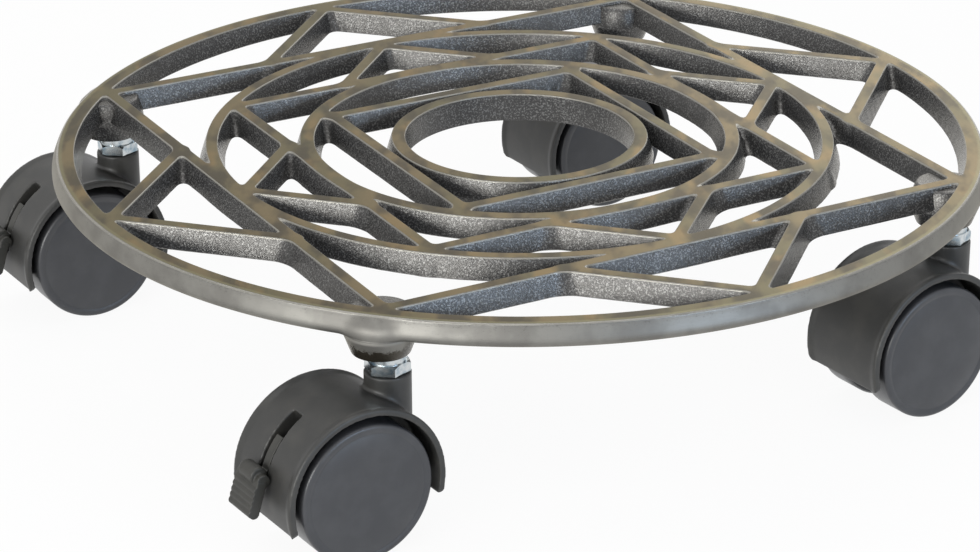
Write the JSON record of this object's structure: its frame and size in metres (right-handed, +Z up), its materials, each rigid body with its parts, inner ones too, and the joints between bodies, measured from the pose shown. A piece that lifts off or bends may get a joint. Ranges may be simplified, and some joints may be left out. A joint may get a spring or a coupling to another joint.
{
  "type": "plant caddy",
  "caption": "Round cast-iron plant caddy: an open plate of nested squares and rings on hooded twin-wheel swivel casters, some with brake pedals",
  "frame": {"origin": "the plate's centre, on the plane of its top face and on the axis of the hole in its middle", "axes": "+X to the right of the picture's view, +Y away from its camera, +Z up out of the plate's top face"},
  "size_m": [0.3318, 0.3244, 0.0711],
  "materials": {
    "cast_plate": "cast iron with a rough sand-cast skin, lacquered in bronze brown, its top faces ground to a satin sheen",
    "zinc": "bright zinc-plated steel",
    "housing_plastic": "matt black moulded plastic with a fine grain",
    "brake_plastic": "matt black moulded plastic, slightly olive",
    "wheel_plastic": "satin dark grey hard plastic"
  },
  "bodies": {
    "plate": {"plate": "cast_plate", "front_stem": "zinc", "front_grip_ring": "zinc", "left_stem": "zinc", "left_grip_ring": "zinc", "right_stem": "zinc", "right_grip_ring": "zinc", "back_stem": "zinc", "back_grip_ring": "zinc"},
    "front_caster": {"front_housing": "housing_plastic", "front_axle": "zinc"},
    "front_near_wheel": {"front_near_wheel": "wheel_plastic"},
    "front_far_wheel": {"front_far_wheel": "wheel_plastic"},
    "front_brake_lever": {"front_brake_lever": "brake_plastic"},
    "left_caster": {"left_housing": "housing_plastic", "left_axle": "zinc"},
    "left_near_wheel": {"left_near_wheel": "wheel_plastic"},
    "left_far_wheel": {"left_far_wheel": "wheel_plastic"},
    "left_brake_lever": {"left_brake_lever": "brake_plastic"},
    "right_caster": {"right_housing": "housing_plastic", "right_axle": "zinc"},
    "right_near_wheel": {"right_near_wheel": "wheel_plastic"},
    "right_far_wheel": {"right_far_wheel": "wheel_plastic"},
    "back_caster": {"back_housing": "housing_plastic", "back_axle": "zinc"},
    "back_near_wheel": {"back_near_wheel": "wheel_plastic"},
    "back_far_wheel": {"back_far_wheel": "wheel_plastic"}
  },
  "joints": [
    {"name": "front_swivel", "type": "hinge", "parent": "plate", "child": "front_caster", "pos_m": [-0.03929, -0.13437, -0.0205], "axis": [0, 0, 1], "continuous": true},
    {"name": "front_near_wheel_spin", "type": "hinge", "parent": "front_caster", "child": "front_near_wheel", "pos_m": [-0.05329, -0.14329, -0.0495], "axis": [0.5373, -0.8434, 0], "continuous": true},
    {"name": "front_far_wheel_spin", "type": "hinge", "parent": "front_caster", "child": "front_far_wheel", "pos_m": [-0.05329, -0.14329, -0.0495], "axis": [0.5373, -0.8434, 0], "continuous": true},
    {"name": "front_brake", "type": "hinge", "parent": "front_caster", "child": "front_brake_lever", "pos_m": [-0.05329, -0.14329, -0.0495], "axis": [-0.5373, 0.8434, 0], "range_deg": [0, 18]},
    {"name": "left_swivel", "type": "hinge", "parent": "plate", "child": "left_caster", "pos_m": [-0.13437, 0.03929, -0.0205], "axis": [0, 0, 1], "continuous": true},
    {"name": "left_near_wheel_spin", "type": "hinge", "parent": "left_caster", "child": "left_near_wheel", "pos_m": [-0.14853, 0.03062, -0.0495], "axis": [0.5225, -0.8526, 0], "continuous": true},
    {"name": "left_far_wheel_spin", "type": "hinge", "parent": "left_caster", "child": "left_far_wheel", "pos_m": [-0.14853, 0.03062, -0.0495], "axis": [0.5225, -0.8526, 0], "continuous": true},
    {"name": "left_brake", "type": "hinge", "parent": "left_caster", "child": "left_brake_lever", "pos_m": [-0.14853, 0.03062, -0.0495], "axis": [-0.5225, 0.8526, 0], "range_deg": [0, 18]},
    {"name": "right_swivel", "type": "hinge", "parent": "plate", "child": "right_caster", "pos_m": [0.13437, -0.03929, -0.0205], "axis": [0, 0, 1], "continuous": true},
    {"name": "right_near_wheel_spin", "type": "hinge", "parent": "right_caster", "child": "right_near_wheel", "pos_m": [0.12069, -0.0487, -0.0495], "axis": [0.5664, -0.8241, 0], "continuous": true},
    {"name": "right_far_wheel_spin", "type": "hinge", "parent": "right_caster", "child": "right_far_wheel", "pos_m": [0.12069, -0.0487, -0.0495], "axis": [0.5664, -0.8241, 0], "continuous": true},
    {"name": "back_swivel", "type": "hinge", "parent": "plate", "child": "back_caster", "pos_m": [0.03929, 0.13437, -0.0205], "axis": [0, 0, 1], "continuous": true},
    {"name": "back_near_wheel_spin", "type": "hinge", "parent": "back_caster", "child": "back_near_wheel", "pos_m": [0.02529, 0.12545, -0.0495], "axis": [0.5373, -0.8434, 0], "continuous": true},
    {"name": "back_far_wheel_spin", "type": "hinge", "parent": "back_caster", "child": "back_far_wheel", "pos_m": [0.02529, 0.12545, -0.0495], "axis": [0.5373, -0.8434, 0], "continuous": true}
  ]
}
